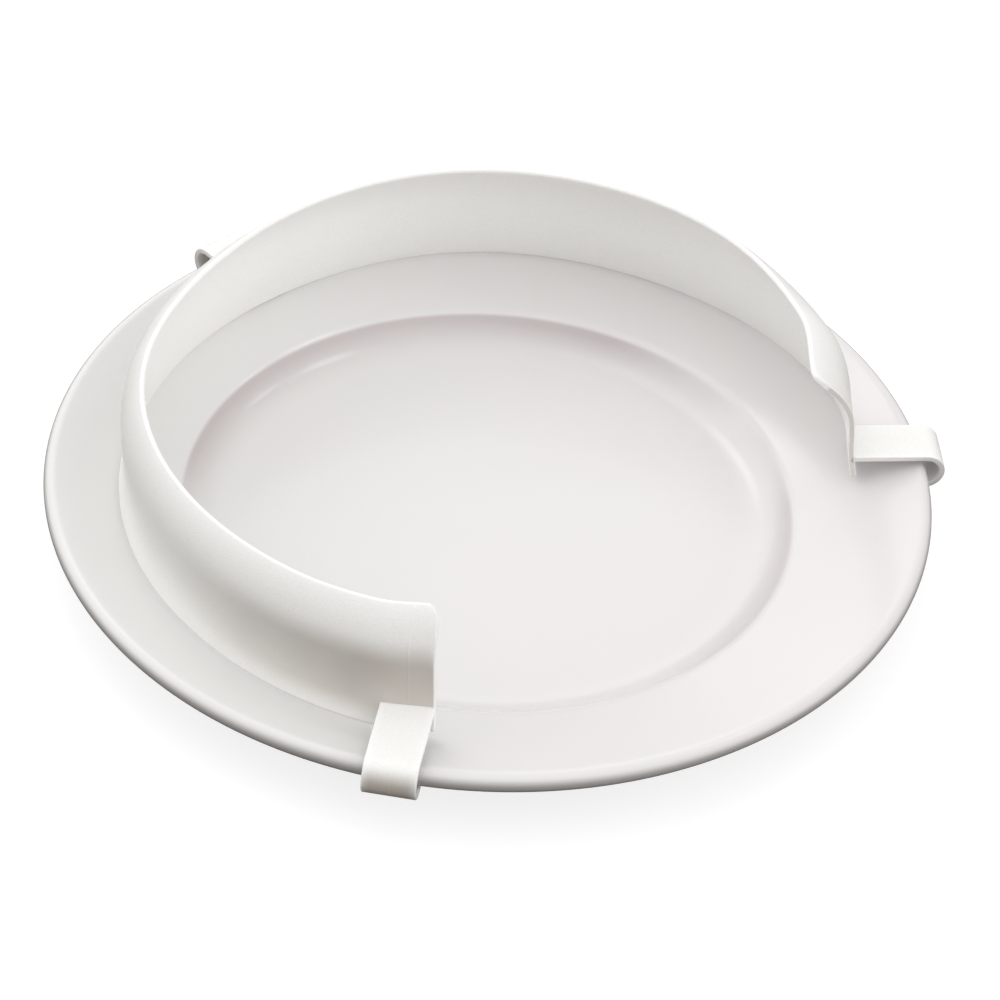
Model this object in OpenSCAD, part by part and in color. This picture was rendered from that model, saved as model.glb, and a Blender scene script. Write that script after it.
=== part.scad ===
// Rimmed dinner plate with a clip-on plate guard.
// Millimetres, +Z up. The plate's axis is the Z axis and it stands on Z = 0.
// Azimuths are in degrees, counter-clockwise from +X.

/* [Plate] */
// Outside diameter of the plate
plate_d = 254; // [230:1:280]
// Height of the rim's edge above the table
plate_h = 25; // [23:0.5:28]
// Radius of the rounded edge of the rim
edge_r = 2.85; // [2.4:0.05:2.9]
// Slope of the rim next to its edge
rim_angle = 20; // [18:0.5:21]
// How much the rim's slope eases towards the well
rim_dish = 0.0008; // [0:0.0002:0.002]
// Radius at which the rim turns down into the well
verge_r = 90; // [86:0.2:92]
// Width of the bend between the rim and the well
verge_bend = 3.5; // [2:0.5:5]
// Radius of the flat floor
floor_r = 70; // [66:0.5:74]
// Height of the floor's upper face
floor_z = 6.5; // [6:0.5:8]
// Thickness of the rim
rim_t = 4.6; // [4:0.1:4.8]
// Height of the foot ring
foot_h = 2.5; // [2:0.5:3]
// Width of the foot ring where it meets the table
foot_w = 3.5; // [3:0.5:5]

/* [Guard wall] */
// Outside radius of the wall at its foot
wall_r = 109.2; // [107:0.1:110]
// Offset of the wall's centre from the plate's axis, along X
guard_x = 3.4; // [2:0.1:3.6]
// Offset of the wall's centre from the plate's axis, along Y
guard_y = -0.4; // [-1:0.1:0.5]
// Height of the wall's foot above the table
wall_z = 21.5; // [21.4:0.1:23]
// Height of the wall
wall_h = 37; // [34:0.5:40]
// Thickness of the wall and the clips
wall_t = 1.7; // [1.5:0.05:1.9]
// Azimuth of the end beside the right clip
right_az = 6.8; // [2:0.1:10]
// Azimuth of the end beside the front clip
front_az = 263; // [255:0.5:268]
// How far the foot of the wall draws in up to its waist
foot_in = 1.7; // [1:0.1:2.5]
// Height of the waist
waist_h = 13; // [10:0.5:16]
// Height at which the wall starts to curl in
shoulder_h = 20; // [16:0.5:24]
// How far the top curls in
lip_in = 7.6; // [5:0.1:9]
// How far the foot bends in at the right end
right_curl = 6; // [0:0.1:7]
// How much further the top leans in near the right end
right_lean = 8.2; // [0:0.1:9]
// How far the foot bends in at the front end
front_curl = 2.2; // [0:0.1:4]
// How much further the top leans in at the front end
front_lean = 1.5; // [0:0.1:3]
// How far the front end's edge slopes back at the top, in degrees of azimuth
front_skew = 1.1; // [0:0.1:2]
// How much less the top leans in on the left side
left_relief = 2.9; // [0:0.1:4]
// How far the wall bulges out at the back
back_bulge = 1.8; // [0:0.1:2]
// How much further the top leans in beside the rear clip
rear_lean = 3.3; // [0:0.1:4]
// Gap between the rim and the foot, where the foot reaches down to it
foot_gap = 0.5; // [0.4:0.1:1]
// Radius of the two top corners
corner_r = 4; // [2:0.5:6]

/* [Clips] */
// Width of each clip
clip_w = 14.8; // [12:0.1:18]
// Azimuth of the rear clip's middle
rear_az = 133.2; // [120:0.1:150]
// Height of the straps' upper face above the foot of the wall
strap_rise = 7.4; // [7:0.1:9]
// Distance of the hooks' bend centre from the plate's axis
bend_r = 126.5; // [126:0.1:128]
// Inside radius of the hooks
hook_in_r = 4.05; // [4:0.05:4.3]
// Length of the flat return under the rim
hook_tip = 4.5; // [3:0.1:5]

/* [Flexures] */
// Radius of the rounded start of each hook
barrel_r = 0.85; // [0.75:0.05:0.95]
// Clearance between a hook's rounded start and its seat
seat_gap = 0.05; // [0.03:0.01:0.1]

/* [Hidden] */

china = "whitesmoke";
plastic = "ivory";
fine = 180;
small = 48;
eps = 0.01;

// Plate outline
edge_x = plate_d / 2 - edge_r;
edge_z = plate_h - edge_r;
rim_r = edge_x - edge_r * sin(rim_angle);
rim_z = edge_z + edge_r * cos(rim_angle);
floor_t = floor_z - foot_h;
under_shift = floor_t - 0.5;
edge_steps = 16;
well_steps = 16;
rim_steps = 8;

// Guard wall
bulge_az = 98;
bulge_span = 25;
rear_lean_az = 154;
rear_lean_span = 24;
drop_start = 30;
drop_end = 225;
drop_run_out = 40;
drop_h = 6;
curl_span = 20;
lean_az = 20;
lean_span = 28;
front_curl_span = 10;
front_lean_span = 25;
relief_az = 190;
relief_span = 45;
lip_power = 2.2;
wall_rows = 9;
wall_stations = 46;
corner_stations = 5;
cap_angles = [45, 90, 135];

// Clips
front_clip_az = front_az - front_skew * strap_rise / wall_h;
strap_z = wall_z + strap_rise - wall_t;
strap_mid_z = strap_z + wall_t / 2;
hook_mid_r = hook_in_r + wall_t / 2;
hook_out_r = hook_in_r + wall_t;
root_steps = 5;

function clamp01(t) = min(1, max(0, t));
function ease(t) = let (c = clamp01(t)) c * c * (3 - 2 * c);
function bell(az, middle, span) = exp(-pow((az - middle) / span, 2));

// ---- Plate -------------------------------------------------------------

function rim_top(r) = let (d = rim_r - r) rim_z - tan(rim_angle) * d + rim_dish * d * d;

function rim_slope(r) = tan(rim_angle) - 2 * rim_dish * (rim_r - r);

// The well's curve: level at r0, steeper and steeper up to a short bend that meets the rim at r1
function well(t, r0, z0, r1, z1) = let (
        run = r1 - r0,
        steepest = (6 * (z1 - z0) - 3 * rim_slope(r1) * verge_bend) / (2 * run + verge_bend),
        out = run * t,
        left = run - out)
    [r0 + out,
     left > verge_bend
        ? z0 + steepest * pow(out, 3) / (3 * pow(run - verge_bend, 2))
        : z1 - rim_slope(r1) * left - (steepest - rim_slope(r1)) * left * left / (2 * verge_bend)];

function plate_outline() = concat(
    [[0, floor_z]],
    [for (i = [0 : well_steps - 1])
        well(i / well_steps, floor_r, floor_z, verge_r, rim_top(verge_r))],
    [for (i = [0 : rim_steps - 1])
        let (r = verge_r + (rim_r - verge_r) * i / rim_steps) [r, rim_top(r)]],
    [for (i = [0 : edge_steps])
        let (a = 90 + rim_angle - i * (180 + rim_angle) / edge_steps)
            [edge_x + edge_r * cos(a), edge_z + edge_r * sin(a)]],
    [for (i = [rim_steps : -1 : 1])
        let (r = verge_r + under_shift + (edge_x - edge_r * 1.5 - verge_r - under_shift) * i / rim_steps)
            [r, rim_top(r) - rim_t]],
    [for (i = [well_steps : -1 : 0])
        well(i / well_steps, floor_r + under_shift, foot_h,
             verge_r + under_shift, rim_top(verge_r + under_shift) - rim_t)],
    [[floor_r + 2, 0.4],
     [floor_r + 1.6, 0],
     [floor_r + 1.6 - foot_w, 0],
     [floor_r + 1.2 - foot_w, 0.4],
     [floor_r + 0.4 - foot_w, foot_h],
     [0, foot_h]]);

module plate() {
    color(china)
        rotate_extrude($fn = fine)
            polygon(plate_outline());
}

// ---- Guard wall --------------------------------------------------------

// Outside radius of the wall's foot at an azimuth
function foot_radius(az) = wall_r
    + back_bulge * bell(az, bulge_az, bulge_span)
    - right_curl * ease((right_az + curl_span - az) / curl_span)
    - front_curl * ease((az - front_az + front_curl_span) / front_curl_span);

// How far the outer face stands in from the foot, at height v
function face_in(az, v) =
    foot_in * sin(90 * clamp01(v / waist_h))
    + lip_in * pow(clamp01((v - shoulder_h) / (wall_h - shoulder_h)), lip_power)
    + right_lean * bell(az, lean_az, lean_span) * pow(v / wall_h, 3)
    + front_lean * ease((az - front_az + front_lean_span) / front_lean_span) * pow(v / wall_h, 2)
    - left_relief * bell(az, relief_az, relief_span) * pow(v / wall_h, 2)
    + rear_lean * bell(az, rear_lean_az, rear_lean_span) * pow(v / wall_h, 5);

// Lean of the face from vertical, at height v
function face_lean(az, v) = atan((face_in(az, v + eps) - face_in(az, v)) / eps);

// Height of the face at a distance from the nearer end: the top corners are rounded
function face_top(run) = wall_h - wall_t / 2
    - (run >= corner_r ? 0 : corner_r - sqrt(pow(corner_r, 2) - pow(corner_r - run, 2)));

function end_run(az) = min(az - right_az, front_az - az) * PI / 180 * wall_r;

// The front end's edge slopes back, so the last stretch is sheared round the axis
function skewed(az, v) = az
    - front_skew * ease((az - front_az + front_lean_span) / front_lean_span) * v / wall_h;

// How far the foot reaches down to sit just above the sloping rim, round the back and left
function foot_drop(az) = let (
        x = guard_x + foot_radius(az) * cos(az),
        y = guard_y + foot_radius(az) * sin(az))
    ease((az - drop_start) / drop_run_out) * ease((drop_end - az) / drop_run_out)
        * (wall_z - foot_gap - rim_top(norm([x, y])));

function on_wall(az, inward, v) = let (r = foot_radius(az) - inward, a = skewed(az, v), up = max(0, v))
    [guard_x + r * cos(a), guard_y + r * sin(a), wall_z + up - foot_drop(az) * max(0, 1 - up / drop_h)];

function wall_ring(az) = let (top = face_top(max(0, end_run(az))), a = face_lean(az, top), c = wall_t / 2)
    concat(
        [for (i = [0 : wall_rows]) let (v = top * i / wall_rows) on_wall(az, face_in(az, v), v)],
        [for (b = cap_angles)
            on_wall(az,
                    face_in(az, top) + c * (cos(a) - cos(a) * cos(b) + sin(a) * sin(b)),
                    top + c * (-sin(a) + sin(a) * cos(b) + cos(a) * sin(b)))],
        [for (i = [wall_rows : -1 : 1])
            let (v = top * i / wall_rows, s = face_lean(az, v))
                on_wall(az, face_in(az, v) + wall_t * cos(s), v - wall_t * sin(s))],
        [on_wall(az, wall_t, 0)]);

function corner_run(i) = corner_r * (1 - cos(90 * i / corner_stations));
function run_to_az(run) = run / wall_r * 180 / PI;

corner_az = run_to_az(corner_r);
station_az = concat(
    [for (i = [0 : corner_stations - 1]) right_az + run_to_az(corner_run(i))],
    [for (i = [0 : wall_stations])
        right_az + corner_az + (front_az - right_az - 2 * corner_az) * i / wall_stations],
    [for (i = [corner_stations - 1 : -1 : 0]) front_az - run_to_az(corner_run(i))]);

module guard_wall() {
    rings = [for (az = station_az) wall_ring(az)];
    n = len(rings);
    m = len(rings[0]);
    sides = [for (i = [0 : n - 2], j = [0 : m - 1])
        let (k = (j + 1) % m) [i * m + j, i * m + k, (i + 1) * m + k, (i + 1) * m + j]];
    first_end = [for (j = [m - 1 : -1 : 0]) j];
    last_end = [for (j = [0 : m - 1]) (n - 1) * m + j];
    color(plastic)
        polyhedron(
            points = [for (ring = rings) each ring],
            faces = concat(sides, [first_end, last_end]));
}

// ---- Clips -------------------------------------------------------------

// Distance of a clip's bend centre from the wall's centre, along the clip
function bend_x(az) = bend_r - guard_x * cos(az) - guard_y * sin(az);

// Where the middle of the wall's thickness lies, beside a clip's centre line at y
function root_x(az, y) = let (
        a = az + asin(y / wall_r),
        r = foot_radius(a) - face_in(a, strap_mid_z - wall_z) - wall_t / 2)
    sqrt(r * r - y * y);

module clip_frame(az) {
    translate([guard_x, guard_y, 0])
        rotate([0, 0, az])
            children();
}

// A flat strap from the wall to the bend, its side edges at y_lo and y_lo + clip_w
module strap(az, y_lo) {
    color(plastic)
        clip_frame(az)
            difference() {
                translate([0, 0, strap_z])
                    linear_extrude(wall_t)
                        polygon(concat(
                            [for (i = [0 : root_steps])
                                let (y = y_lo + clip_w * i / root_steps) [root_x(az, y), y]],
                            [[bend_x(az), y_lo + clip_w], [bend_x(az), y_lo]]));
                translate([bend_x(az), y_lo - 1, strap_mid_z])
                    rotate([-90, 0, 0])
                        cylinder(r = barrel_r + seat_gap, h = clip_w + 2, $fn = small);
            }
}

module hook_outline() {
    difference() {
        circle(r = hook_out_r, $fn = fine);
        circle(r = hook_in_r, $fn = fine);
        translate([-hook_out_r - 1, -hook_out_r - 1])
            square([hook_out_r + 1, 2 * hook_out_r + 2]);
    }
    translate([0, hook_mid_r])
        circle(r = barrel_r, $fn = small);
    translate([-hook_tip, -hook_out_r])
        square([hook_tip + eps, wall_t]);
    translate([-hook_tip, -hook_mid_r])
        circle(r = wall_t / 2, $fn = small);
}

// A hook round the rim, starting with the rounded edge that turns in the strap's seat
module hook(az, y_lo) {
    color(plastic)
        clip_frame(az)
            translate([bend_x(az), y_lo + clip_w, strap_mid_z - hook_mid_r])
                rotate([90, 0, 0])
                    linear_extrude(clip_w)
                        hook_outline();
}

module front_strap() { strap(front_clip_az, -clip_w); }
module right_strap() { strap(right_az, 0); }
module rear_strap() { strap(rear_az, -clip_w / 2); }
module front_hook() { hook(front_clip_az, -clip_w); }
module right_hook() { hook(right_az, 0); }
module rear_hook() { hook(rear_az, -clip_w / 2); }

plate();
guard_wall();
front_strap();
right_strap();
rear_strap();
front_hook();
right_hook();
rear_hook();
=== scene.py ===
"""A rimmed dinner plate with a clip-on plate guard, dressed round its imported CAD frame."""
import math

import bpy
from mathutils import Matrix, Vector


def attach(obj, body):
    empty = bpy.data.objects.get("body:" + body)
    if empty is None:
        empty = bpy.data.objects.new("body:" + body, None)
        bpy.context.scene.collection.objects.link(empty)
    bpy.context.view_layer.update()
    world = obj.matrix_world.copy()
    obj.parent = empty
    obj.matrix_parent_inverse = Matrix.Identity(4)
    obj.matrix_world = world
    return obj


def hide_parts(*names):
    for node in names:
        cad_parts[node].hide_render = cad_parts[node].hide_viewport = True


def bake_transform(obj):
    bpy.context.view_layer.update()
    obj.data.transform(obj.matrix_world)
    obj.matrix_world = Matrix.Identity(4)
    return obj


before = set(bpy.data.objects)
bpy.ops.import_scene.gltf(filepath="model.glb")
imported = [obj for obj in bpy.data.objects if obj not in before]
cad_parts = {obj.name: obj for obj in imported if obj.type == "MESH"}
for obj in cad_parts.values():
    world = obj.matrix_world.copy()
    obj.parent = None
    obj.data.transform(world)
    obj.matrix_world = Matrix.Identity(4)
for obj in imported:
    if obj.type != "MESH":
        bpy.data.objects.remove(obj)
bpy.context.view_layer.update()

MM = 0.001

# ---- Dimensions in millimetres and degrees, the same as the CAD's -------

PLATE_D = 254
PLATE_H = 25
EDGE_R = 2.85
RIM_ANGLE = 20
RIM_DISH = 0.0008
VERGE_R = 90
VERGE_BEND = 3.5
FLOOR_R = 70
FLOOR_Z = 6.5
RIM_T = 4.6
FOOT_H = 2.5
FOOT_W = 3.5
WELL_THINNING = 0.5

WALL_R = 109.2
GUARD_X = 3.4
GUARD_Y = -0.4
WALL_Z = 21.5
WALL_H = 37
WALL_T = 1.7
RIGHT_AZ = 6.8
FRONT_AZ = 263
FOOT_IN = 1.7
WAIST_H = 13
SHOULDER_H = 20
LIP_IN = 7.6
LIP_POWER = 2.2
RIGHT_CURL = 6
CURL_SPAN = 20
RIGHT_LEAN = 8.2
LEAN_AZ = 20
LEAN_SPAN = 28
FRONT_CURL = 2.2
FRONT_CURL_SPAN = 10
FRONT_LEAN = 1.5
FRONT_LEAN_SPAN = 25
FRONT_SKEW = 1.1
LEFT_RELIEF = 2.9
RELIEF_AZ = 190
RELIEF_SPAN = 45
BACK_BULGE = 1.8
BULGE_AZ = 98
BULGE_SPAN = 25
REAR_LEAN = 3.3
REAR_LEAN_AZ = 154
REAR_LEAN_SPAN = 24
FOOT_GAP = 0.5
DROP_H = 6
DROP_START = 30
DROP_END = 225
DROP_RUN_OUT = 40
CORNER_R = 4

CLIP_W = 14.8
REAR_AZ = 133.2
STRAP_RISE = 7.4
BEND_R = 126.5
HOOK_IN_R = 4.05
HOOK_TIP = 4.5

EDGE_X = PLATE_D / 2 - EDGE_R
EDGE_Z = PLATE_H - EDGE_R
RIM_R = EDGE_X - EDGE_R * math.sin(math.radians(RIM_ANGLE))
RIM_Z = EDGE_Z + EDGE_R * math.cos(math.radians(RIM_ANGLE))
UNDER_SHIFT = FLOOR_Z - FOOT_H - WELL_THINNING
HALF_T = WALL_T / 2
STRAP_MID_Z = WALL_Z + STRAP_RISE - HALF_T
HOOK_MID_R = HOOK_IN_R + HALF_T
HOOK_Z = STRAP_MID_Z - HOOK_MID_R
FRONT_CLIP_AZ = FRONT_AZ - FRONT_SKEW * STRAP_RISE / WALL_H

# ---- Camera -------------------------------------------------------------

LENS = 144.5
SENSOR = 36
CAMERA_TARGET = Vector((3.53, -9.91, EDGE_Z)) * MM
CAMERA_DISTANCE = 1143 * MM
CAMERA_ELEVATION = math.radians(40.41)
CAMERA_ROLL = math.radians(3.9)


def make_camera():
    data = bpy.data.cameras.new("camera")
    data.lens = LENS
    data.sensor_width = SENSOR
    camera = bpy.data.objects.new("camera", data)
    bpy.context.scene.collection.objects.link(camera)
    c, s = math.cos(CAMERA_ELEVATION), math.sin(CAMERA_ELEVATION)
    level = Vector((1, 0, 0))
    rise = Vector((0, s, c))
    forward = Vector((0, c, -s))
    across = math.cos(CAMERA_ROLL) * level + math.sin(CAMERA_ROLL) * rise
    up = -math.sin(CAMERA_ROLL) * level + math.cos(CAMERA_ROLL) * rise
    turn = Matrix((across, up, -forward)).transposed().to_4x4()
    camera.matrix_world = Matrix.Translation(CAMERA_TARGET - forward * CAMERA_DISTANCE) @ turn
    bpy.context.scene.camera = camera


make_camera()

# ---- Small helpers ------------------------------------------------------


def sin_deg(a):
    return math.sin(math.radians(a))


def cos_deg(a):
    return math.cos(math.radians(a))


def direction(az, elevation):
    """The unit vector toward an azimuth and an elevation."""
    level = cos_deg(elevation)
    return Vector((level * cos_deg(az), level * sin_deg(az), sin_deg(elevation)))


def clamp01(t):
    return min(1.0, max(0.0, t))


def ease(t):
    c = clamp01(t)
    return c * c * (3 - 2 * c)


def bell(value, middle, span):
    return math.exp(-(((value - middle) / span) ** 2))


def spread(start, end, steps):
    """steps + 1 evenly spaced values from start to end."""
    return [start + (end - start) * i / steps for i in range(steps + 1)]


def near(middle, offsets):
    return [middle + d for d in offsets]


def make_mesh(name, points, faces, **layers):
    """A smooth-shaded mesh from points in millimetres; a layer is one value a vertex."""
    mesh = bpy.data.meshes.new(name)
    mesh.from_pydata([(x * MM, y * MM, z * MM) for x, y, z in points], [], faces)
    mesh.validate()
    mesh.shade_smooth()
    for layer, values in layers.items():
        attribute = mesh.attributes.new(layer, "FLOAT", "POINT")
        attribute.data.foreach_set("value", values)
    piece = bpy.data.objects.new(name, mesh)
    bpy.context.scene.collection.objects.link(piece)
    return piece


def ring_faces(ring_count, ring_size):
    """Quads between consecutive closed rings."""
    faces = []
    for i in range(ring_count - 1):
        for j in range(ring_size):
            k = (j + 1) % ring_size
            faces.append((i * ring_size + j, i * ring_size + k,
                          (i + 1) * ring_size + k, (i + 1) * ring_size + j))
    return faces


def folded_cap(first, ring_size, flip):
    """Closes a ring that mirrors itself about its first point: quads between mirrored pairs."""
    faces = []
    for j in range(ring_size // 2):
        a, b = j, j + 1
        c, d = (ring_size - j - 1) % ring_size, (ring_size - j) % ring_size
        corners = []
        for index in (a, b, c, d):
            if first + index not in corners:
                corners.append(first + index)
        if len(corners) > 2:
            faces.append(tuple(reversed(corners)) if flip else tuple(corners))
    return faces


# ---- Plate --------------------------------------------------------------

PLATE_SEGMENTS = 320
FLOOR_RINGS = 26
WELL_RINGS = 40
RIM_RINGS = 26
EDGE_RINGS = 22
RECESS_RINGS = 12
ROUNDING_STEPS = 5

# Where the underside of the rim begins, in edge radii, and where the well's underside stops, as a share
UNDER_RIM_IN = 1.5
UNDER_WELL_END = 0.08

# The foot ring's outer side stands FOOT_OUT beyond the floor; the others are measured from its two sides
FOOT_OUT = 1.6
FOOT_FLARE = 0.25
FOOT_ROUND = 0.5
SOLE_IN = 0.2
RECESS_IN = 1.4
RECESS_ROUND = 0.9
RECESS_LEVEL_IN = 6
RECESS_RING_IN = 10
RECESS_HUB = 4


def rim_top(r):
    d = RIM_R - r
    return RIM_Z - math.tan(math.radians(RIM_ANGLE)) * d + RIM_DISH * d * d


def rim_slope(r):
    return math.tan(math.radians(RIM_ANGLE)) - 2 * RIM_DISH * (RIM_R - r)


def well_curve(t, r0, z0, r1, z1, end_slope):
    """From level at r0, steeper and steeper up to a short bend that meets the rim's slope at r1."""
    run = r1 - r0
    steepest = (6 * (z1 - z0) - 3 * end_slope * VERGE_BEND) / (2 * run + VERGE_BEND)
    r = r0 + run * t
    if run * t < run - VERGE_BEND:
        return (r, z0 + steepest * (run * t) ** 3 / (3 * (run - VERGE_BEND) ** 2))
    left = r1 - r
    return (r, z1 - end_slope * left - (steepest - end_slope) * left ** 2 / (2 * VERGE_BEND))


def rounded_path(corners):
    """Points along a polyline of (r, z, radius) corners, with each corner rounded."""
    path = []
    for i, (r, z, radius) in enumerate(corners):
        here = Vector((r, z))
        if radius == 0:
            path.append((r, z))
            continue
        into = (Vector(corners[i - 1][:2]) - here).normalized()
        away = (Vector(corners[i + 1][:2]) - here).normalized()
        half = into.angle(away) / 2
        reach = radius / math.tan(half)
        centre = here + (into + away).normalized() * (radius / math.sin(half))
        start, stop = here + into * reach - centre, here + away * reach - centre
        turn = start.angle(stop)
        for t in spread(0, 1, ROUNDING_STEPS):
            arm = (start * math.sin((1 - t) * turn) + stop * math.sin(t * turn)) / math.sin(turn)
            path.append(tuple(centre + arm))
    return path


def plate_profile():
    """The plate's half section from the middle of its floor round to the middle of its recess."""
    top_z = rim_top(VERGE_R)
    profile = [(FLOOR_R * (i / FLOOR_RINGS), FLOOR_Z) for i in range(1, FLOOR_RINGS)]
    profile += [well_curve(t, FLOOR_R, FLOOR_Z, VERGE_R, top_z, rim_slope(VERGE_R))
                for t in spread(0, 1, WELL_RINGS)]
    profile += [(r, rim_top(r)) for r in spread(VERGE_R, RIM_R, RIM_RINGS)[1:-1]]
    profile += [(EDGE_X + EDGE_R * cos_deg(a), EDGE_Z + EDGE_R * sin_deg(a))
                for a in spread(90 + RIM_ANGLE, -90, EDGE_RINGS)]
    under_r = VERGE_R + UNDER_SHIFT
    under_z = rim_top(under_r) - RIM_T
    profile += [(r, rim_top(r) - RIM_T)
                for r in spread(EDGE_X - EDGE_R * UNDER_RIM_IN, under_r, RIM_RINGS // 2)[:-1]]
    profile += [well_curve(t, FLOOR_R + UNDER_SHIFT, FOOT_H, under_r, under_z, rim_slope(under_r))
                for t in spread(1, UNDER_WELL_END, WELL_RINGS // 2)]
    outer = FLOOR_R + FOOT_OUT
    inner = outer - FOOT_W
    profile += rounded_path([
        (FLOOR_R + UNDER_SHIFT, FOOT_H, 0),
        (outer + FOOT_FLARE, 0, FOOT_ROUND),
        (inner - SOLE_IN, 0, FOOT_ROUND),
        (inner - RECESS_IN, FOOT_H, RECESS_ROUND),
        (inner - RECESS_LEVEL_IN, FOOT_H, 0),
    ])
    profile += [(r, FOOT_H) for r in spread(inner - RECESS_RING_IN, RECESS_HUB, RECESS_RINGS)]
    return profile


def make_plate():
    profile = plate_profile()
    rings = [[(r * cos_deg(a), r * sin_deg(a), z)
              for a in spread(0, 360, PLATE_SEGMENTS)[:-1]] for r, z in profile]
    points = [p for ring in rings for p in ring]
    faces = ring_faces(len(rings), PLATE_SEGMENTS)
    floor_middle, recess_middle = len(points), len(points) + 1
    points += [(0, 0, FLOOR_Z), (0, 0, FOOT_H)]
    last = (len(rings) - 1) * PLATE_SEGMENTS
    for j in range(PLATE_SEGMENTS):
        k = (j + 1) % PLATE_SEGMENTS
        faces.append((floor_middle, k, j))
        faces.append((recess_middle, last + j, last + k))
    return make_mesh("plate_body", points, [tuple(reversed(f)) for f in faces])


# ---- Guard wall ---------------------------------------------------------

WALL_ROWS = 44
WALL_STATIONS = 250
CAP_STEPS = 10
END_STEPS = 6
CORNER_STEPS = 12
END_ROUND = 0.42

# Distances from the wall's ends: a few extra stations, and the parting line with the stations round it
EXTRA_RUNS = {0.6, 5.2, 6.2, 8.8}
PARTING_RUN = 7.5
PARTING_OFFSETS = (-0.7, -0.4, -0.25, -0.12, 0, 0.12, 0.25, 0.4, 0.7)
PARTING_RIDGE = 0.1
PARTING_WIDTH = 0.22

# Shares of wear with painted highlight and of grime with painted shade on the wall, and how far each
# reaches from its ends or its waist
FOOT_WEAR_HIGHLIGHT = 0.5
LIP_WEAR_HIGHLIGHT = 0.4
LIP_WEAR_HIGHLIGHT_ROWS = 4
ARRIS_REACH = 1.6
CUT_REACH = 1.2
CUT_FADE = 3
CUT_GRIME_SHADE = 0.6
LEAST_GRIME_SHADE = 0.1
FRONT_GRIME_SHADE = 0.75
FOOT_GRIME_SHADE = 0.5
GRIME_SHADE_START = 215
GRIME_SHADE_SPAN = 38
GRIME_SHADE_END_GAP = 0.6
GRIME_SHADE_MIDDLE = 0.75
GRIME_SHADE_BAND = 1.7
GRIME_SHADE_FADE = 2.1


def foot_radius(az):
    return (WALL_R
            + BACK_BULGE * bell(az, BULGE_AZ, BULGE_SPAN)
            - RIGHT_CURL * ease((RIGHT_AZ + CURL_SPAN - az) / CURL_SPAN)
            - FRONT_CURL * ease((az - FRONT_AZ + FRONT_CURL_SPAN) / FRONT_CURL_SPAN))


def face_in(az, v):
    """How far the wall's outer face stands in from its foot, at height v."""
    rise = max(0.0, v) / WALL_H
    return (FOOT_IN * sin_deg(90 * clamp01(v / WAIST_H))
            + LIP_IN * clamp01((v - SHOULDER_H) / (WALL_H - SHOULDER_H)) ** LIP_POWER
            + RIGHT_LEAN * bell(az, LEAN_AZ, LEAN_SPAN) * rise ** 3
            + FRONT_LEAN * ease((az - FRONT_AZ + FRONT_LEAN_SPAN) / FRONT_LEAN_SPAN) * rise ** 2
            - LEFT_RELIEF * bell(az, RELIEF_AZ, RELIEF_SPAN) * rise ** 2
            + REAR_LEAN * bell(az, REAR_LEAN_AZ, REAR_LEAN_SPAN) * rise ** 5)


def face_lean(az, v):
    step = 0.02
    return math.atan((face_in(az, v + step) - face_in(az, v)) / step)


def end_run(az):
    """Distance along the wall from its nearer end."""
    return math.radians(min(az - RIGHT_AZ, FRONT_AZ - az)) * WALL_R


def wall_top(run):
    """Height of the wall's lip centre: the two top corners are rounded."""
    if run >= CORNER_R:
        return WALL_H - HALF_T
    return WALL_H - HALF_T - CORNER_R + math.sqrt(CORNER_R ** 2 - (CORNER_R - run) ** 2)


def half_thickness(run):
    """Half of the wall's thickness, less where its end faces are rounded."""
    if run >= END_ROUND:
        return HALF_T
    return HALF_T - END_ROUND + math.sqrt(END_ROUND ** 2 - (END_ROUND - run) ** 2)


def foot_drop(az):
    """How far the foot reaches down to sit just above the sloping rim, round the back and left."""
    x = GUARD_X + foot_radius(az) * cos_deg(az)
    y = GUARD_Y + foot_radius(az) * sin_deg(az)
    share = ease((az - DROP_START) / DROP_RUN_OUT) * ease((DROP_END - az) / DROP_RUN_OUT)
    return share * (WALL_Z - FOOT_GAP - rim_top(math.hypot(x, y)))


def on_wall(az, inward, v):
    r = foot_radius(az) - inward
    a = az - FRONT_SKEW * ease((az - FRONT_AZ + FRONT_LEAN_SPAN) / FRONT_LEAN_SPAN) * v / WALL_H
    z = WALL_Z + v - foot_drop(az) * max(0, 1 - v / DROP_H)
    return (GUARD_X + r * cos_deg(a), GUARD_Y + r * sin_deg(a), z)


def wall_ring(az):
    """A closed section of the wall, from the middle of its foot up its outer face and back down."""
    run = max(0.0, end_run(az))
    half = half_thickness(run)
    top = wall_top(run)
    ridge = PARTING_RIDGE * bell(run, PARTING_RUN, PARTING_WIDTH)

    def at(v, sideways, upward):
        lean = face_lean(az, v)
        c, s = math.cos(lean), math.sin(lean)
        inward = face_in(az, v) + HALF_T * c + sideways * c + upward * s
        return on_wall(az, inward, v - HALF_T * s - sideways * s + upward * c)

    heights = spread(HALF_T, top, WALL_ROWS)
    quarter = spread(0, 90, CAP_STEPS)
    over = spread(0, 180, 2 * CAP_STEPS)[1:-1]
    ring = [at(HALF_T, -half * sin_deg(b), -half * cos_deg(b)) for b in quarter[:-1]]
    ring += [at(v, -half - ridge, 0) for v in heights]
    ring += [at(top, -half * cos_deg(b), half * sin_deg(b)) for b in over]
    ring += [at(v, half, 0) for v in reversed(heights)]
    ring += [at(HALF_T, half * cos_deg(b), -half * sin_deg(b)) for b in quarter[1:-1]]
    return ring


def cut_share(az):
    """How far a wall ring lies on the right end's flat face, which is grimed and painted with shade, and
    not whitened.
    """
    if az > FRONT_AZ / 2:
        return 0.0
    return ease(CUT_REACH - CUT_FADE * end_run(az) / END_ROUND)


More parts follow.
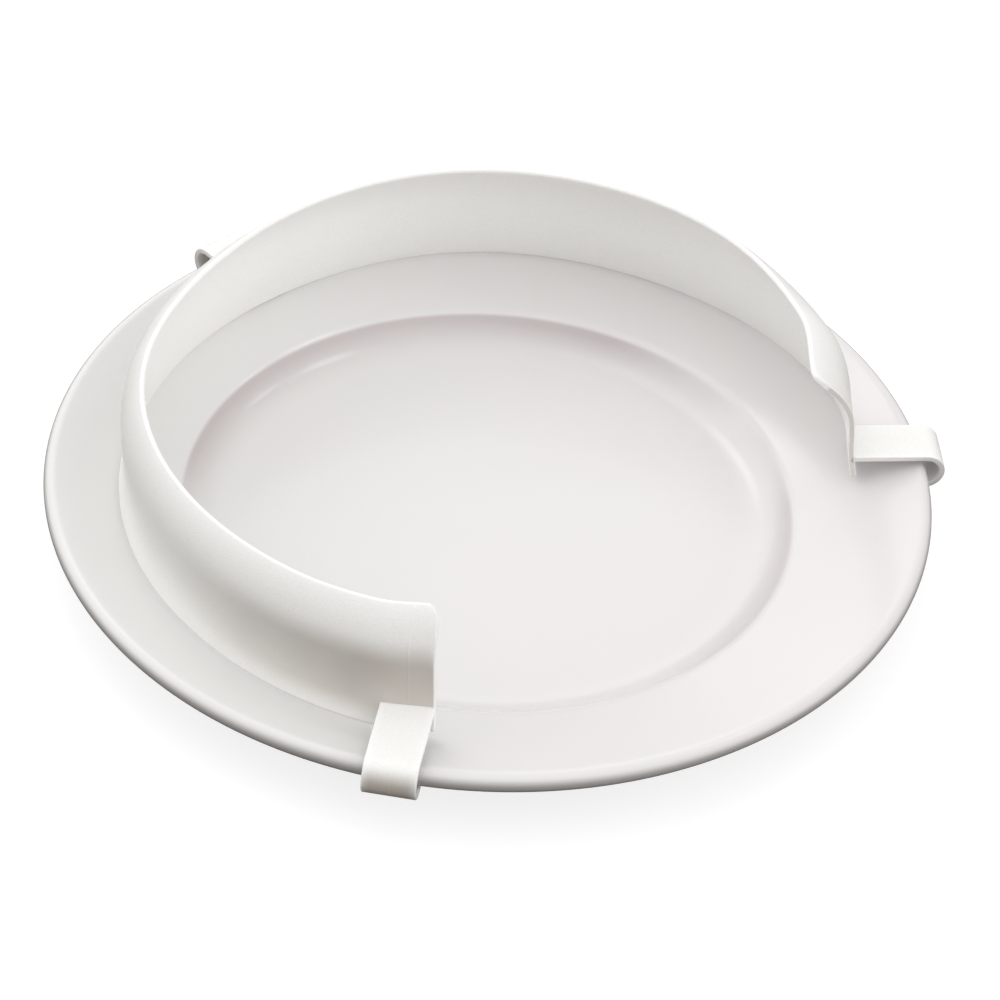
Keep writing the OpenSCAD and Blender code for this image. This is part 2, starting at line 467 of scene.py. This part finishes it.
def ring_wear_and_highlight(az):
    """How whitened each point of a wall ring is, by wear and a painted highlight: its foot, its lip and, at
    the ends, its arrises.
    """
    rows = WALL_ROWS + 1
    wear_and_highlight = [FOOT_WEAR_HIGHLIGHT] * CAP_STEPS
    wear_and_highlight += [ease(1 - (rows - 1 - i) / LIP_WEAR_HIGHLIGHT_ROWS) for i in range(rows)]
    wear_and_highlight += [1.0] * (2 * CAP_STEPS - 1)
    wear_and_highlight += [ease(1 - i / LIP_WEAR_HIGHLIGHT_ROWS) for i in range(rows)]
    wear_and_highlight += [FOOT_WEAR_HIGHLIGHT] * (CAP_STEPS - 1)
    edge = ease(ARRIS_REACH - end_run(az) / END_ROUND)
    rubbed_and_lit = 1 - cut_share(az)
    return [max(edge, LIP_WEAR_HIGHLIGHT * w) * rubbed_and_lit for w in wear_and_highlight]


def ring_grime(az):
    """How grimed and painted with shade each point of a wall ring is: its outer face's waist, and the right
    end's face.
    """
    rows = WALL_ROWS + 1
    # More grime and painted shade toward the front, where the faces get little light
    share = LEAST_GRIME_SHADE + FRONT_GRIME_SHADE * ease((az - GRIME_SHADE_START) / GRIME_SHADE_SPAN)
    share *= ease(end_run(az) / END_ROUND - GRIME_SHADE_END_GAP)
    grime = [FOOT_GRIME_SHADE * share] * CAP_STEPS
    grime += [share * ease(GRIME_SHADE_BAND - abs(2 * i / rows - GRIME_SHADE_MIDDLE) * GRIME_SHADE_FADE) for i in range(rows)]
    grime += [0.0] * (rows + 3 * CAP_STEPS - 2)
    return [max(CUT_GRIME_SHADE * cut_share(az), g) for g in grime]


def wall_azimuths():
    """Stations along the wall, close together at its rounded ends and its parting lines."""
    runs = {round(END_ROUND * (1 - cos_deg(b)), 4) for b in spread(0, 90, END_STEPS)}
    runs |= {round(CORNER_R * (1 - cos_deg(b)), 4) for b in spread(0, 90, CORNER_STEPS)}
    runs |= EXTRA_RUNS | set(near(PARTING_RUN, PARTING_OFFSETS))
    turn = [math.degrees(run / WALL_R) for run in sorted(runs)]
    middle = spread(RIGHT_AZ + turn[-1], FRONT_AZ - turn[-1], WALL_STATIONS)[1:-1]
    return [RIGHT_AZ + t for t in turn] + middle + [FRONT_AZ - t for t in reversed(turn)]


def make_wall():
    azimuths = wall_azimuths()
    rings = [wall_ring(az) for az in azimuths]
    size = len(rings[0])
    points = [p for ring in rings for p in ring]
    faces = ring_faces(len(rings), size)
    faces += folded_cap(0, size, True)
    faces += folded_cap((len(rings) - 1) * size, size, False)
    return make_mesh("guard_band", points, [tuple(reversed(f)) for f in faces],
                     worn=[w for az in azimuths for w in ring_wear_and_highlight(az)],
                     grime=[g for az in azimuths for g in ring_grime(az)])


# ---- Clips --------------------------------------------------------------

STRAP_ROWS = 14
BEND_ROWS = 40
TIP_ROWS = 5
TIP_STEPS = 7
TIP_TURN = 80
TIP_TAPER = 0.6
ROUND_STEPS = 5
EDGE_ROUND = 0.32
ROOT_FILLET = 0.45
ROOT_RUN = 0.6

# Across the strap: how many points, how far they stay from its rounded edges and from each other,
# and the largest share of a thin tip that is rounded
ACROSS_STEPS = 8
FLAT_GAP = 0.15
CLOSEST = 0.05
THIN_ROUND = 0.98

# The mould line round the outside of the bend
GATE_WIDTH = 0.2
GATE_RIDGE = 0.09
GATE_OFFSETS = (-0.5, -0.3, -0.15, 0, 0.15, 0.3, 0.5)

# Degrees round the bend: where the mould line rises and falls, and where the grime and painted shade begin
GATE_START = 25
GATE_RISE = 20
GATE_END = 120
GATE_FALL = 10
HOOK_GRIME_SHADE_START = 30
HOOK_GRIME_SHADE_SPAN = 55

# Width beside the strap's side faces over which their grime and painted shade fade
SIDE_SHARP = 0.12


def bend_x(az):
    return BEND_R - GUARD_X * cos_deg(az) - GUARD_Y * sin_deg(az)


def root_x(az, y):
    """Where the middle of the wall's thickness lies, beside a clip's centre line at y."""
    a = az + math.degrees(math.asin(y / WALL_R))
    r = foot_radius(a) - face_in(a, STRAP_MID_Z - WALL_Z) - HALF_T
    return math.sqrt(r * r - y * y)


def clip_point(az, x, y, z):
    return (GUARD_X + x * cos_deg(az) - y * sin_deg(az),
            GUARD_Y + x * sin_deg(az) + y * cos_deg(az), z)


def clip_section(y_lo, half, side_in):
    """Points (y, offset from the middle) round the strap's section, as it is cut across."""
    y0, y1 = y_lo + side_in, y_lo + CLIP_W - side_in
    rnd = min(EDGE_ROUND, half * THIN_ROUND)
    middle = y_lo + CLIP_W / 2
    across = sorted(spread(y0 + rnd + FLAT_GAP, y1 - rnd - FLAT_GAP, ACROSS_STEPS)
                    + near(middle, GATE_OFFSETS))
    across = [y for i, y in enumerate(across) if i == 0 or y - across[i - 1] > CLOSEST]
    quarter = spread(0, 90, ROUND_STEPS)
    section = [(y, half) for y in across]
    section += [(y1 - rnd + rnd * sin_deg(b), half - rnd + rnd * cos_deg(b)) for b in quarter]
    section += [(y1 - rnd + rnd * cos_deg(b), -half + rnd - rnd * sin_deg(b)) for b in quarter]
    section += [(y, -half) for y in reversed(across)]
    section += [(y0 + rnd - rnd * sin_deg(b), -half + rnd - rnd * cos_deg(b)) for b in quarter]
    section += [(y0 + rnd - rnd * cos_deg(b), half - rnd + rnd * sin_deg(b)) for b in quarter]
    return section


def make_clip(name, az, y_lo, dirt_and_shade, side_dirt_and_shade):
    """One moulded clip: a flat strap, a bend round the plate's edge and a return under it."""
    bend = bend_x(az)
    middle = y_lo + CLIP_W / 2
    rings, worn, grime = [], [], []

    def add(section, place, share=0.0):
        rings.append([clip_point(az, *place(y, off)) for y, off in section])
        for y, _ in section:
            # Side faces get grime and painted shade; the edges get wear whitening and a painted highlight
            beyond = abs(y - middle) - CLIP_W / 2
            edge = ease((beyond + 2 * EDGE_ROUND) / EDGE_ROUND)
            side = side_dirt_and_shade * ease(1 + beyond / SIDE_SHARP)
            worn.append(edge * (1 - side))
            grime.append(max(side, dirt_and_shade * share * (1 - edge)))

    plain = clip_section(y_lo, HALF_T, 0)
    fillet_runs = [HALF_T + ROOT_FILLET * (1 - cos_deg(b)) for b in spread(0, 90, ROUND_STEPS)]
    for run in [0, HALF_T * ROOT_RUN] + fillet_runs:
        short = ROOT_FILLET - max(0, run - HALF_T)
        lift = ROOT_FILLET - math.sqrt(max(0, ROOT_FILLET ** 2 - short ** 2))
        swell = 1 + lift / HALF_T
        add(plain, lambda y, off: (root_x(az, y) + run, y, STRAP_MID_Z + off * swell))
    start = HALF_T + ROOT_FILLET
    for t in spread(0, 1, STRAP_ROWS)[1:]:
        add(plain, lambda y, off: ((root_x(az, y) + start) * (1 - t) + bend * t, y, STRAP_MID_Z + off))
    for b in spread(0, 180, BEND_ROWS)[1:]:
        gate = GATE_RIDGE * ease((b - GATE_START) / GATE_RISE) * ease((GATE_END - b) / GATE_FALL)

        def on_bend(y, off):
            ridge = gate * bell(y, middle, GATE_WIDTH) if off > 0 else 0
            r = HOOK_MID_R + off + ridge
            return (bend + r * sin_deg(b), y, HOOK_Z + r * cos_deg(b))

        # The bend darkens with grime and painted shade
        add(plain, on_bend, ease((b - HOOK_GRIME_SHADE_START) / HOOK_GRIME_SHADE_SPAN))
    low = HOOK_Z - HOOK_MID_R
    for x in spread(0, HOOK_TIP, TIP_ROWS)[1:]:
        add(plain, lambda y, off: (bend - x, y, low - off), 1)
    for b in spread(0, TIP_TURN, TIP_STEPS)[1:]:
        section = clip_section(y_lo, HALF_T * cos_deg(b), TIP_TAPER * (1 - cos_deg(b)))
        add(section, lambda y, off: (bend - HOOK_TIP - HALF_T * sin_deg(b), y, low - off), 1)
    size = len(plain)
    points = [p for ring in rings for p in ring]
    faces = ring_faces(len(rings), size)
    faces.append(tuple(range(size - 1, -1, -1)))
    faces.append(tuple(range((len(rings) - 1) * size, len(rings) * size)))
    return make_mesh(name, points, faces, worn=worn, grime=grime)


# ---- Materials ----------------------------------------------------------


class Nodes:
    """A few words for building a node tree."""

    def __init__(self, tree):
        self.tree = tree

    def node(self, kind, **settings):
        made = self.tree.nodes.new(kind)
        for key, value in settings.items():
            setattr(made, key, value)
        return made

    def link(self, source, target):
        self.tree.links.new(source, target)

    def noise(self, vector, scale, detail=2.0, rough=0.5):
        made = self.node("ShaderNodeTexNoise")
        made.inputs["Scale"].default_value = scale
        made.inputs["Detail"].default_value = detail
        made.inputs["Roughness"].default_value = rough
        self.link(vector, made.inputs["Vector"])
        return made.outputs["Fac"]

    def span(self, value, low, high, to_low=0.0, to_high=1.0):
        made = self.node("ShaderNodeMapRange")
        made.inputs["From Min"].default_value = low
        made.inputs["From Max"].default_value = high
        made.inputs["To Min"].default_value = to_low
        made.inputs["To Max"].default_value = to_high
        self.link(value, made.inputs["Value"])
        return made.outputs["Result"]

    def math(self, operation, a, b):
        made = self.node("ShaderNodeMath", operation=operation)
        for slot, value in zip(made.inputs, (a, b)):
            if isinstance(value, (int, float)):
                slot.default_value = value
            else:
                self.link(value, slot)
        return made.outputs[0]

    def mix(self, factor, a, b):
        made = self.node("ShaderNodeMix", data_type="RGBA")
        for slot, value in ((made.inputs[0], factor), (made.inputs[6], a), (made.inputs[7], b)):
            if isinstance(value, tuple):
                slot.default_value = (*value, 1)
            elif isinstance(value, (int, float)):
                slot.default_value = value
            else:
                self.link(value, slot)
        return made.outputs[2]

    def bump(self, height, distance, strength=1.0, under=None):
        made = self.node("ShaderNodeBump")
        made.inputs["Distance"].default_value = distance
        made.inputs["Strength"].default_value = strength
        self.link(height, made.inputs["Height"])
        if under:
            self.link(under, made.inputs["Normal"])
        return made.outputs["Normal"]


def new_material(name):
    material = bpy.data.materials.new(name)
    material.use_nodes = True
    return material, Nodes(material.node_tree), material.node_tree.nodes["Principled BSDF"]


CHINA_GREY = (0.760, 0.750, 0.738)
CHINA_PINK = (0.755, 0.725, 0.728)
# Painted shade just inside the well's verge
CHINA_VERGE_SHADE = (0.550, 0.503, 0.500)
# Painted shade on the underside of the rolled edge
CHINA_EDGE_SHADE = (0.480, 0.462, 0.452)
BISCUIT = (0.60, 0.56, 0.50)
CHINA_IOR = 1.52
GLAZE_ROUGH = (0.15, 0.18)
BARE_ROUGHER = 0.6
# Sides of the well that get the painted shade inside the verge
VERGE_SHADE_AZ = 120
FAINT_VERGE_SHADE_AZ = 342
FAINT_VERGE_SHADE_SHARE = 0.5

# Noise scales, in waves a metre
CLOUD_SCALE = 14
SMUDGE_SCALE = 18
GLAZE_LINE_SCALE = 400

# Distances in metres over which one tint of the china turns into another
PINK_ACROSS = (-0.08, 0.12)
# The next five are for the painted shade inside the verge
VERGE_SHADE_INNER = (0.0735, 0.0865)
VERGE_SHADE_OUTER = (0.0885, 0.0875)
VERGE_SHADE_SIDE = (0.01, 0.06)
FAINT_VERGE_SHADE_SIDE = (0.062, 0.085)
VERGE_SHADE_WANDER = 0.012
# The next two are for the painted shade on the lower half of the rolled edge
EDGE_SHADE_HEIGHT = (0.0243, 0.0226)
EDGE_SHADE_REACH = (0.1215, 0.125)
BARE_HEIGHT = (0.0005, 0.0003)
BARE_WANDER = 0.0001


def plate_radius(n, place):
    """Distance from the plate's axis."""
    flat = n.node("ShaderNodeVectorMath", operation="MULTIPLY")
    n.link(place, flat.inputs[0])
    flat.inputs[1].default_value = (1, 1, 0)
    radius = n.node("ShaderNodeVectorMath", operation="LENGTH")
    n.link(flat.outputs[0], radius.inputs[0])
    return radius.outputs["Value"]


def toward(n, place, az):
    """How far a point lies out from the plate's axis on the side of an azimuth."""
    made = n.node("ShaderNodeVectorMath", operation="DOT_PRODUCT")
    n.link(place, made.inputs[0])
    made.inputs[1].default_value = (cos_deg(az), sin_deg(az), 0)
    return made.outputs["Value"]


def painted_verge_shade(n, place, reach, clouds):
    """Painted shade just inside the well's verge, on two of its sides, where the slope is shaded."""
    inner = n.span(reach, *VERGE_SHADE_INNER)
    outer = n.span(reach, *VERGE_SHADE_OUTER)
    drift = n.span(clouds, 0.3, 0.7, -VERGE_SHADE_WANDER, VERGE_SHADE_WANDER)
    deep = n.span(n.math("ADD", toward(n, place, VERGE_SHADE_AZ), drift), *VERGE_SHADE_SIDE)
    faint = n.math("ADD", toward(n, place, FAINT_VERGE_SHADE_AZ), drift)
    faint = n.span(faint, *FAINT_VERGE_SHADE_SIDE, 0, FAINT_VERGE_SHADE_SHARE)
    band = n.math("MULTIPLY", n.math("MULTIPLY", inner, inner), outer)
    return n.math("MULTIPLY", band, n.math("MAXIMUM", deep, faint))


def glazed_china():
    material, n, shader = new_material("glazed_china")
    place = n.node("ShaderNodeTexCoord").outputs["Object"]
    axes = n.node("ShaderNodeSeparateXYZ")
    n.link(place, axes.inputs[0])
    clouds = n.noise(place, CLOUD_SCALE, 3)
    rightward = n.span(axes.outputs["X"], *PINK_ACROSS, 0, 0.7)
    drift = n.math("ADD", rightward, n.span(clouds, 0.3, 0.7, -0.25, 0.25))
    tint = n.mix(drift, CHINA_GREY, CHINA_PINK)
    reach = plate_radius(n, place)
    # Painted shade in the well, just inside the verge
    tint = n.mix(painted_verge_shade(n, place, reach, clouds), tint, CHINA_VERGE_SHADE)
    # Painted shade on the lower half of the rolled edge
    low = n.span(axes.outputs["Z"], *EDGE_SHADE_HEIGHT)
    rim_edge_shade = n.math("MULTIPLY", low, n.span(reach, *EDGE_SHADE_REACH))
    tint = n.mix(rim_edge_shade, tint, CHINA_EDGE_SHADE)
    wander = n.span(n.noise(place, GLAZE_LINE_SCALE), 0.4, 0.6, -BARE_WANDER, BARE_WANDER)
    bare = n.span(n.math("ADD", axes.outputs["Z"], wander), *BARE_HEIGHT)
    n.link(n.mix(bare, tint, BISCUIT), shader.inputs["Base Color"])
    smudge = n.span(n.noise(place, SMUDGE_SCALE, 2), 0.35, 0.7, *GLAZE_ROUGH)
    n.link(n.math("ADD", smudge, n.span(bare, 0, 1, 0, BARE_ROUGHER)), shader.inputs["Roughness"])
    shader.inputs["IOR"].default_value = CHINA_IOR
    return material


PLASTIC_WHITE = (0.910, 0.905, 0.885)
PLASTIC_SHADE = (0.890, 0.884, 0.862)
# Wear whitening that is also a painted highlight on the lip and the arrises
PLASTIC_WORN_HIGHLIGHT = (0.965, 0.963, 0.955)
# Grime and painted shade: the outer waist and hooks facing the front, and the cut faces
PLASTIC_GRIMED_SHADED = (0.560, 0.515, 0.465)
PLASTIC_IOR = 1.49
PLASTIC_ROUGH = (0.40, 0.52)
SCATTER_WEIGHT = 0.25
SCATTER_RADIUS = (1.0, 0.97, 0.92)
SCATTER_SCALE = 0.002

# Noise scales, in waves a metre, and the depths of the two grains in metres
FLOW_SCALE = 22
GRIME_SHADE_SCALE = 40
SHEEN_SCALE = 60
WEAR_HIGHLIGHT_SCALE = 160
COARSE_SCALE = 650
GRAIN_SCALE = 2300
COARSE_DEPTH = 0.00006
GRAIN_DEPTH = 0.00008


def moulded_plastic():
    material, n, shader = new_material("moulded_plastic")
    place = n.node("ShaderNodeTexCoord").outputs["Object"]
    flow = n.noise(place, FLOW_SCALE, 3)
    tint = n.mix(n.span(flow, 0.35, 0.65), PLASTIC_WHITE, PLASTIC_SHADE)
    # Wear whitening, also a painted highlight along the arrises
    worn = n.node("ShaderNodeAttribute", attribute_name="worn").outputs["Fac"]
    rubbed_and_lit = n.math("MULTIPLY", worn, n.span(n.noise(place, WEAR_HIGHLIGHT_SCALE, 3), 0.4, 0.7, 0.6, 1.0))
    tint = n.mix(rubbed_and_lit, tint, PLASTIC_WORN_HIGHLIGHT)
    # Darkening that is grime and also painted shade, where the surfaces face the dim front
    grime = n.node("ShaderNodeAttribute", attribute_name="grime").outputs["Fac"]
    patchy = n.span(n.noise(place, GRIME_SHADE_SCALE, 2), 0.35, 0.65, 0.85, 1.0)
    dulled_and_shaded = n.math("MULTIPLY", grime, patchy)
    tint = n.mix(dulled_and_shaded, tint, PLASTIC_GRIMED_SHADED)
    grain = n.noise(place, GRAIN_SCALE, 2, 0.6)
    n.link(n.mix(n.span(grain, 0.5, 0.75, 0, 0.2), tint, BISCUIT), shader.inputs["Base Color"])
    sheen = n.noise(place, SHEEN_SCALE, 3)
    n.link(n.span(sheen, 0.3, 0.7, *PLASTIC_ROUGH), shader.inputs["Roughness"])
    coarse = n.bump(n.noise(place, COARSE_SCALE, 2), COARSE_DEPTH, 0.35)
    n.link(n.bump(grain, GRAIN_DEPTH, 0.8, coarse), shader.inputs["Normal"])
    shader.inputs["IOR"].default_value = PLASTIC_IOR
    shader.inputs["Subsurface Weight"].default_value = SCATTER_WEIGHT
    shader.inputs["Subsurface Radius"].default_value = SCATTER_RADIUS
    shader.inputs["Subsurface Scale"].default_value = SCATTER_SCALE
    return material


PAPER_SCALE = 6
PAPER_ROUGH = 0.9


def paper(name, dark, light, glow=0.0):
    """Matt paper whose shade drifts slightly between two colours; its glow lights nothing else."""
    material, n, shader = new_material(name)
    place = n.node("ShaderNodeTexCoord").outputs["Object"]
    shade = n.span(n.noise(place, PAPER_SCALE, 2), 0.3, 0.7)
    n.link(n.mix(shade, dark, light), shader.inputs["Base Color"])
    shader.inputs["Roughness"].default_value = PAPER_ROUGH
    shader.inputs["Emission Color"].default_value = (1, 1, 1, 1)
    shader.inputs["Emission Strength"].default_value = glow
    material.cycles.emission_sampling = "NONE"
    return material


# ---- Pieces -------------------------------------------------------------

china = glazed_china()
plastic = moulded_plastic()

plate = make_plate()
plate.data.materials.append(china)
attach(plate, "plate")
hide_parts("plate")

band = make_wall()
band.data.materials.append(plastic)
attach(band, "guard")
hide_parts("guard_wall")

# Azimuth, the side edge's y and how much grime and painted shade the hook and the side faces get, for each
# clip
CLIPS = {
    "front": (FRONT_CLIP_AZ, -CLIP_W, 1.0, 0.0),
    "right": (RIGHT_AZ, 0, 0.0, 0.35),
    "rear": (REAR_AZ, -CLIP_W / 2, 0.3, 0.3),
}

for side, (clip_az, clip_y, dirt_and_shade, side_dirt_and_shade) in CLIPS.items():
    clip = make_clip(side + "_clip", clip_az, clip_y, dirt_and_shade, side_dirt_and_shade)
    clip.data.materials.append(plastic)
    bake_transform(clip)
    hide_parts(side + "_strap", side + "_hook")

# ---- Floor and light ----------------------------------------------------

FLOOR_RADIUS = 9000
FLOOR_RINGS_OUT = 24
FLOOR_SEGMENTS = 96
FLOOR_GREYS = ((0.32, 0.32, 0.32), (0.34, 0.34, 0.34))
FLOOR_GLOW = 0.78
CARD_Z = -0.5
CARD_BROWNS = ((0.050, 0.038, 0.028), (0.060, 0.048, 0.035))


def make_disc(name, z, material):
    """A flat round floor or card at height z, which isn't part of the object."""
    rings = [[(r * cos_deg(a), r * sin_deg(a), z) for a in spread(0, 360, FLOOR_SEGMENTS)[:-1]]
             for r in spread(0, FLOOR_RADIUS, FLOOR_RINGS_OUT)[1:]]
    points = [p for ring in rings for p in ring] + [(0, 0, z)]
    faces = [tuple(reversed(f)) for f in ring_faces(len(rings), FLOOR_SEGMENTS)]
    faces += [(len(points) - 1, j, (j + 1) % FLOOR_SEGMENTS) for j in range(FLOOR_SEGMENTS)]
    disc = make_mesh(name, points, faces)
    disc.data.materials.append(material)
    return disc


SKY_BASE = 0.25
GLOW_POWER = 6

# Azimuth and elevation in degrees, and brightness, of each soft glow in the studio's sky
SKY_GLOWS = {
    "overhead": (0, 90, 0.64),
    "front": (300, 52, 1.05),
    "right": (-18, 8, 1.9),
    "back": (100, 12, 1.1),
    "back_left": (135, 42, 0.78),
    "left": (180, 35, 0.9),
    "left_low": (200, 8, 0.7),
}


def make_sky():
    """A dim studio with soft glows round it."""
    world = bpy.data.worlds.new("studio")
    world.use_nodes = True
    n = Nodes(world.node_tree)
    ray = n.node("ShaderNodeTexCoord").outputs["Generated"]
    sky = SKY_BASE
    for az, elevation, brightness in SKY_GLOWS.values():
        facing = n.node("ShaderNodeVectorMath", operation="DOT_PRODUCT")
        n.link(ray, facing.inputs[0])
        facing.inputs[1].default_value = direction(az, elevation)
        glow = n.math("POWER", n.math("MAXIMUM", facing.outputs["Value"], 0), GLOW_POWER)
        sky = n.math("ADD", n.math("MULTIPLY", glow, brightness), sky)
    n.link(sky, world.node_tree.nodes["Background"].inputs["Color"])
    bpy.context.scene.world = world


SOFTBOX_DISTANCE = 1.8

# Azimuth and elevation in degrees, size in metres, and radiance, of each softbox
SOFTBOXES = {
    "verge_softbox": (25, 62, 0.3, 3),
    "key_softbox": (125, 65, 0.6, 0.5),
    "back_softbox": (118, 47, 0.35, 2.2),
    "right_softbox": (33, 48, 0.2, 3),
}


def softbox(name, az, elevation, size, radiance):
    """A square softbox, facing the plate from SOFTBOX_DISTANCE metres away."""
    data = bpy.data.lights.new(name, "AREA")
    data.shape = "SQUARE"
    data.size = size
    data.energy = radiance * math.pi * size * size
    light = bpy.data.objects.new(name, data)
    light.location = direction(az, elevation) * SOFTBOX_DISTANCE
    light.rotation_euler = (-light.location).to_track_quat("-Z", "Y").to_euler()
    bpy.context.scene.collection.objects.link(light)


floor = make_disc("floor", 0, paper("pale_floor", *FLOOR_GREYS, FLOOR_GLOW))
floor.visible_diffuse = False
floor.visible_glossy = False
floor.visible_shadow = False
card = make_disc("bounce_card", CARD_Z, paper("brown_card", *CARD_BROWNS))
card.visible_camera = False
for box_name, box in SOFTBOXES.items():
    softbox(box_name, *box)
make_sky()
bpy.context.scene.view_settings.view_transform = "Standard"
